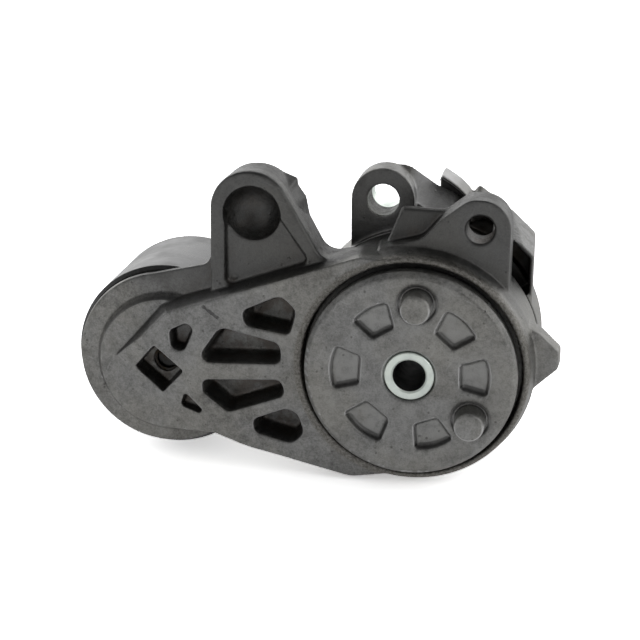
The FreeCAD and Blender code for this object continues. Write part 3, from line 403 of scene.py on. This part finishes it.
def arm_marks(n, place, color, height, tone):
    """Painted shade on the upper lugs and on the beam's upper wall, the lip round the cap, the pockets and
    the nick beside the upper one.
    """
    # painted shade on the upper lugs and on the ribs behind the front face
    color = n.mix(painted_upper_shade(n, place), color, gray(tone * 0.3, (1.0, 1.0, 0.98)))
    # painted shade on the upper wall of the beam
    color = n.mix(n.math("MULTIPLY", rim_wall(n, place), 0.6), color, gray(tone * 0.25))
    color, height = add_lip(n, place, color, height, tone)
    color = add_pocket_marks(n, place, color, tone)
    nick = scratch_mask(n, place, NICK_START, NICK_END, NICK_HALF_WIDTH)
    color = n.mix(n.math("MULTIPLY", nick, 0.75), color, gray(tone * 0.3))
    return color, n.math("SUBTRACT", height, n.math("MULTIPLY", nick, 4.0))


def housing_marks(n, place, color, height, tone):
    """Painted shade on the faces that look to the front, painted light on the web beside the upper lug and
    a brown bloom inside the corner.
    """
    parts = n.split(place)
    # painted shade: the faces that look to the front are darker
    front = n.spread(n.facing()["Y"], -0.97, -0.85, 0.7, 0.0)
    color = n.mix(front, color, gray(tone * 0.3))
    # painted light on the web beside the upper lug, which looks upward
    web = n.math("MULTIPLY", between(n, parts["X"], WEB_LEFT_X, WEB_RIGHT_X, 2 * MM),
                 n.spread(parts["Z"], WEB_LOW_Z, WEB_LOW_Z + 5 * MM))
    paler = n.math("MULTIPLY", web, n.math("SUBTRACT", 0.7, front))
    color = n.mix(paler, color, gray(tone * 2.2))
    inside = n.math("MULTIPLY", n.spread(parts["X"], CORNER_X, CORNER_X + 5 * MM),
                    n.spread(parts["Y"], CORNER_Y, CORNER_Y + 2 * MM))
    patches = n.spread(n.noise(place, 160.0, 5.0), 0.35, 0.6, 0.1, 0.7)
    hollow = n.spread(n.openness(CORNER_REACH, 4), 0.35, 0.75, 1.0, 0.0)
    bloom = n.math("MULTIPLY", n.math("MULTIPLY", inside, patches), hollow)
    return n.mix(bloom, color, (0.16 * tone, 0.115 * tone, 0.06 * tone, 1.0)), height


def cap_marks(n, place, color, height, tone):
    """Paler floors, painted shade on the upward walls and painted highlights on the upper rims in the
    pockets of the cap.
    """
    depth = n.split(place)["Y"]
    radius = axis_radius(n, place)
    away_from_rim = n.spread(radius, CAP_RIM_RADIUS, CAP_RIM_RADIUS + 1 * MM, 1.0, 0.0)
    patchy = n.spread(n.noise(place, 230.0, 4.0), 0.35, 0.6, 0.1, 0.7)
    sunk = n.spread(depth, CAP_FACE_Y + 1.4 * MM, CAP_FACE_Y + 2.6 * MM)
    floors = n.math("MULTIPLY", sunk, away_from_rim)
    color = n.mix(n.math("MULTIPLY", floors, patchy), color, gray(tone * 1.3, (1.0, 1.0, 0.98)))
    # painted shade on the walls just below the face that look upward
    below_face = n.spread(depth, CAP_FACE_Y + 0.2 * MM, CAP_FACE_Y + 0.7 * MM)
    below_face = n.math("MULTIPLY", below_face, away_from_rim)
    upwards = n.spread(n.facing()["Z"], 0.06, 0.4, 0.0, 0.6)
    color = n.mix(n.math("MULTIPLY", below_face, upwards), color, gray(tone * 0.22))
    # painted highlight on the hanging walls at the edges of the pockets
    hanging = hanging_walls(n, place, CAP_FACE_Y, CAP_POCKET_DEPTH)
    rims = n.math("MULTIPLY", hanging, away_from_rim)
    color = n.mix(n.math("MULTIPLY", rims, 0.65), color, gray(min(1.0, tone * 2.4)))
    return color, height


# ---- other materials -------------------------------------------------------------------
def turned_steel(name, tone, rough_low, rough_high):
    """Turned or ground steel: rings round the part's axis, faint smudges."""
    material, n, place = new_material(name)
    lines = turned_lines(n, place, RING_STRETCH, RING_FINENESS, 4.0)
    smudge = n.noise(place, 90.0, 5.0, 0.62)
    color = n.mix(n.spread(smudge, 0.35, 0.7), gray(tone), gray(tone * 0.82))
    color = n.mix(n.spread(lines, 0.4, 0.7, 0.0, 0.3), color, gray(tone * 1.15))
    rough = n.math("ADD", n.spread(smudge, 0.3, 0.7, rough_low, rough_high),
                   n.math("MULTIPLY", lines, 0.06))
    finish_material(n, color, rough, n.bump(lines, 0.01 * MM, 0.6))
    return material


def zinc_plate(name):
    """Bright zinc plating: almost white, faintly green, a little cloudy; dull inside the bore."""
    material, n, place = new_material(name)
    cloud = n.noise(place, 240.0, 5.0, 0.65)
    fine = n.noise(place, 2600.0, 3.0, 0.6)
    color = n.mix(n.spread(cloud, 0.35, 0.68), ZINC_PALE, ZINC_DULL)
    radius = axis_radius(n, place)
    within = n.spread(radius, SLEEVE_BORE_RADIUS - 0.1 * MM, SLEEVE_BORE_RADIUS + 0.1 * MM, 1.0, 0.0)
    behind = n.spread(n.split(place)["Y"], CAP_FACE_Y + 0.5 * MM, CAP_FACE_Y + 0.9 * MM)
    bore = n.math("MULTIPLY", within, behind)
    color = n.mix(bore, color, gray(0.035))
    rough = n.math("ADD", n.spread(cloud, 0.3, 0.7, 0.3, 0.46), n.math("MULTIPLY", bore, 0.3))
    ring = n.spread(radius, SLEEVE_RING_RADIUS - 0.1 * MM, SLEEVE_RING_RADIUS + 0.1 * MM, 1.0, 0.0)
    ring_face = n.math("SUBTRACT", ring, bore)
    metallic = n.math("SUBTRACT", 1.0, n.math("MULTIPLY", ring_face, 0.55))
    finish_material(n, color, rough, n.bump(fine, 0.02 * MM, 0.5), metallic=metallic)
    return material


def belt_scuffs(n, place):
    """One along thin wandering scuffs, in a few places only."""
    veins = n.math("ABSOLUTE", n.math("SUBTRACT", n.noise(place, 48.0, 3.0, 0.5), 0.5))
    where = n.spread(n.noise(place, 70.0, 1.0), 0.52, 0.6)
    return n.math("MULTIPLY", n.spread(veins, 0.0, 0.012, 1.0, 0.0), where)


def pulley_steel(name):
    """Black coated pulley whose running surface is satin steel, worn and scratched by the belt."""
    material, n, place = new_material(name)
    radius = axis_radius(n, place, PULLEY_AXIS.x, PULLEY_AXIS.z)
    bare = n.spread(radius, PULLEY_RADIUS - 0.45 * MM, PULLEY_RADIUS - 0.15 * MM)
    lines = turned_lines(n, place, BELT_STRETCH, BELT_FINENESS, 5.0)
    smudge = n.noise(place, 45.0, 5.0, 0.6)
    scuffs = belt_scuffs(n, place)
    steel = n.mix(n.spread(smudge, 0.35, 0.68), gray(0.11), gray(0.06))
    steel = n.mix(n.spread(lines, 0.45, 0.7, 0.0, 0.25), steel, gray(0.16))
    steel = n.mix(n.math("MULTIPLY", scuffs, 0.7), steel, gray(0.035))
    flecks = n.noise(place, 900.0)
    black = n.mix(n.spread(flecks, 0.4, 0.7), gray(0.012), gray(0.028))
    rough = n.mix(bare, gray(0.42), n.spread(smudge, 0.3, 0.7, 0.26, 0.4))
    height = n.math("ADD", n.math("MULTIPLY", lines, 0.3), n.math("MULTIPLY", flecks, 0.4))
    height = n.math("SUBTRACT", height, scuffs)
    finish_material(n, n.mix(bare, black, steel), rough, n.bump(height, 0.015 * MM, 0.6), bare)
    return material


def dark_steel(name, tone):
    """Oiled dark steel with a brown bloom."""
    material, n, place = new_material(name)
    bloom = n.noise(place, 180.0, 6.0, 0.7)
    fine = n.noise(place, 1800.0)
    brown = (tone * 1.5, tone * 1.1, tone * 0.65, 1)
    color = n.mix(n.spread(bloom, 0.42, 0.66), gray(tone), brown)
    rough = n.spread(bloom, 0.35, 0.7, 0.32, 0.6)
    finish_material(n, color, rough, n.bump(fine, 0.03 * MM, 0.6), metallic=0.9)
    return material


def moulded(name, dark, light, rough):
    """Moulded plastic or rubber with a fine spark-eroded grain."""
    material, n, place = new_material(name)
    cloud = n.noise(place, 120.0, 4.0)
    fine = n.noise(place, 900.0, 4.0, 0.65)
    color = n.mix(n.spread(cloud, 0.35, 0.7), (*dark, 1), (*light, 1))
    finish_material(n, color, n.spread(cloud, 0.3, 0.7, rough - 0.06, rough + 0.1),
                    n.bump(fine, 0.04 * MM, 0.6), metallic=0.0)
    return material


def make_materials():
    """One material for each slot of the record."""
    return {
        "cast_housing": cast_aluminium("cast_housing", housing_marks, tone=0.25, unevenness=1.2,
                                       stain=0.45, grime_and_shade=0.95, wear_and_highlight=0.4),
        "cast_arm": cast_aluminium("cast_arm", arm_marks, tone=0.25, unevenness=1.15,
                                   stain=0.33, grime_and_shade=0.52, wear_and_highlight=0.55),
        "cast_cap": cast_aluminium("cast_cap", cap_marks, tone=0.265, unevenness=1.0,
                                   stain=0.25, grime_and_shade=0.4, wear_and_highlight=0.85),
        "zinc_steel": zinc_plate("zinc_steel"),
        "bearing_steel": turned_steel("bearing_steel", tone=0.6, rough_low=0.12, rough_high=0.2),
        "spring_steel": dark_steel("spring_steel", tone=0.1),
        "black_steel": dark_steel("black_steel", tone=0.045),
        "pulley_steel": pulley_steel("pulley_steel"),
        "friction_polymer": moulded("friction_polymer", (0.02, 0.017, 0.014), (0.035, 0.03, 0.025), 0.6),
        "bush_polymer": moulded("bush_polymer", (0.04, 0.04, 0.038), (0.06, 0.06, 0.055), 0.5),
        "cage_polymer": moulded("cage_polymer", (0.015, 0.015, 0.016), (0.025, 0.025, 0.026), 0.42),
        "seal_rubber": moulded("seal_rubber", (0.008, 0.008, 0.008), (0.016, 0.016, 0.016), 0.62),
    }


def paint_nodes(materials):
    """Puts each slot's material on the record's nodes."""
    for row in frame["record"]["subparts"]:
        piece = NODES[row["node"]]
        piece.data.materials.clear()
        piece.data.materials.append(materials[row["material_slot"]])


# ---- surface shape ---------------------------------------------------------------------
def soften_casting(node):
    """Rounds every edge of a casting, as its mould and tumbling do."""
    piece = NODES[node]
    remesh = piece.modifiers.new("even_skin", "REMESH")
    remesh.mode = "VOXEL"
    remesh.voxel_size = CAST_VOXEL
    remesh.use_smooth_shade = True
    smooth = piece.modifiers.new("rounded_edges", "SMOOTH")
    smooth.factor = 0.5
    smooth.iterations = CAST_ROUNDS


def smooth_turned(node):
    """Smooth shading with sharp corners kept."""
    mesh = NODES[node].data
    mesh.shade_smooth()
    mesh.set_sharp_from_angle(angle=SHARP_ANGLE)


def thread_rings(mesh, start_y):
    """Three-cornered sections of the thread along its helix round the bolt's axis."""
    turns, steps = 1.5, 36
    crest, root, half_width = BOLT_RADIUS - 0.75 * MM, BOLT_RADIUS + 0.1 * MM, 0.5 * MM
    rings = []
    for i in range(int(turns * steps) + 1):
        angle = math.tau * i / steps
        y = start_y - THREAD_PITCH * i / steps
        ring = []
        for radius, shift in ((root, -half_width), (crest, 0.0), (root, half_width)):
            x = PULLEY_AXIS.x + radius * math.cos(angle)
            z = PULLEY_AXIS.z + radius * math.sin(angle)
            ring.append(mesh.verts.new((x, y + shift, z)))
        rings.append(ring)
    return rings


def make_thread(material):
    """Start of the bolt's thread in the arm's hole, seen through the square drive hole."""
    bolt_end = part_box("pulley_bolt")[0].y
    mesh = bmesh.new()
    rings = thread_rings(mesh, bolt_end - 0.6 * MM)
    for near, far in zip(rings, rings[1:]):
        for a, b in ((0, 1), (1, 2), (2, 0)):
            mesh.faces.new((near[a], near[b], far[b], far[a]))
    mesh.faces.new(rings[0])
    mesh.faces.new(rings[-1][::-1])
    bmesh.ops.recalc_face_normals(mesh, faces=mesh.faces)
    data = bpy.data.meshes.new("bolt_thread")
    mesh.to_mesh(data)
    mesh.free()
    data.materials.append(material)
    piece = add_object("bolt_thread", data)
    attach(piece, "arm")


# ---- room ------------------------------------------------------------------------------
def floor_material():
    """Pale and plain. The camera sees it a little brighter than the object does, so that it
    stays pale while the front of the castings stays dim."""
    material, n, place = new_material("floor")
    cloud = n.noise(place, 3.0)
    normal = n.bump(n.noise(place, 900.0), 0.02 * MM, 0.2)
    plain = n.add("ShaderNodeBsdfDiffuse", {"Color": n.mix(cloud, gray(0.86), gray(0.9)), "Normal": normal})
    lifted = n.add("ShaderNodeBsdfDiffuse", {"Color": gray(FLOOR_LIFT), "Normal": normal})
    skin = n.add("ShaderNodeMixShader", {0: n.add("ShaderNodeLightPath").outputs["Is Camera Ray"]})
    n.put(skin.inputs[1], plain)
    n.put(skin.inputs[2], lifted)
    glow = n.add("ShaderNodeEmission", {"Color": gray(1.0), "Strength": FLOOR_GLOW})
    shader = n.add("ShaderNodeAddShader", {0: skin.outputs[0], 1: glow.outputs[0]})
    n.add("ShaderNodeOutputMaterial", {"Surface": shader.outputs[0]})
    return material


def make_floor():
    """The plain pale floor that the object stands on."""
    low, high = CAD_BOUNDS
    reach = 40 * (high - low).length
    mesh = bpy.data.meshes.new("floor")
    corners = [(-reach, -reach), (reach, -reach), (reach, reach), (-reach, reach)]
    mesh.from_pydata([(x, y, low.z - FLOOR_GAP) for x, y in corners], [], [(0, 1, 2, 3)])
    mesh.materials.append(floor_material())
    add_object("floor", mesh)


def make_world():
    """Studio: a white backdrop behind, dark overhead and dim on the side the camera looks from."""
    world = bpy.data.worlds.new("room")
    bpy.context.scene.world = world
    world.use_nodes = True
    n = Nodes(world.node_tree)
    way = n.split(n.add("ShaderNodeTexCoord").outputs["Generated"])
    behind = n.spread(way["Y"], -0.35, 0.45)
    low_down = n.spread(way["Z"], 0.3, 0.85, 1.0, 0.0)
    level = n.spread(n.math("MULTIPLY", behind, low_down), 0.0, 1.0, ROOM_DIM, ROOM_BRIGHT)
    strength = n.add("ShaderNodeMix", data_type="FLOAT")
    n.put(strength.inputs[0], n.add("ShaderNodeLightPath").outputs["Is Camera Ray"])
    n.put(strength.inputs[2], level)
    n.put(strength.inputs[3], 1.0)
    back = n.add("ShaderNodeBackground", {"Color": (1, 1, 1, 1), "Strength": strength.outputs[0]})
    n.add("ShaderNodeOutputWorld", {"Surface": back.outputs[0]})


def add_softbox(name, way, power):
    """A square area light at way from the object's middle, aimed at it."""
    low, high = CAD_BOUNDS
    light = bpy.data.lights.new(name, "AREA")
    light.shape = "SQUARE"
    light.size = SOFTBOX_SIZE
    light.energy = power
    lamp = add_object(name, light)
    lamp.location = (low + high) / 2 + Vector(way)
    lamp.rotation_mode = "QUATERNION"
    lamp.rotation_quaternion = (-Vector(way)).to_track_quat("-Z", "Y")


def make_camera():
    """Camera at the front, a little to the right and above."""
    level = math.cos(CAMERA_ELEVATION)
    back = Vector((math.sin(CAMERA_AZIMUTH) * level, -math.cos(CAMERA_AZIMUTH) * level,
                   math.sin(CAMERA_ELEVATION)))
    data = bpy.data.cameras.new("camera")
    data.sensor_width = CAMERA_SENSOR
    data.lens = CAMERA_LENS
    data.clip_start = 0.01
    camera = add_object("camera", data)
    camera.location = CAMERA_TARGET + back * CAMERA_DISTANCE
    camera.rotation_mode = "QUATERNION"
    camera.rotation_quaternion = (-back).to_track_quat("-Z", "Y")
    bpy.context.scene.camera = camera


for node_name in NODES:
    if node_name in CAST_NODES:
        soften_casting(node_name)
    else:
        smooth_turned(node_name)
MATERIALS = make_materials()
paint_nodes(MATERIALS)
make_thread(MATERIALS["black_steel"])

make_floor()
make_world()
add_softbox("softbox_left", (-0.5, -0.7, 0.35), 0.6)
add_softbox("softbox_right", (0.8, -0.4, 0.45), 1.4)
add_softbox("softbox_back", (-0.75, 0.65, 0.4), 1.5)
make_camera()
bpy.context.scene.view_settings.view_transform = "Standard"
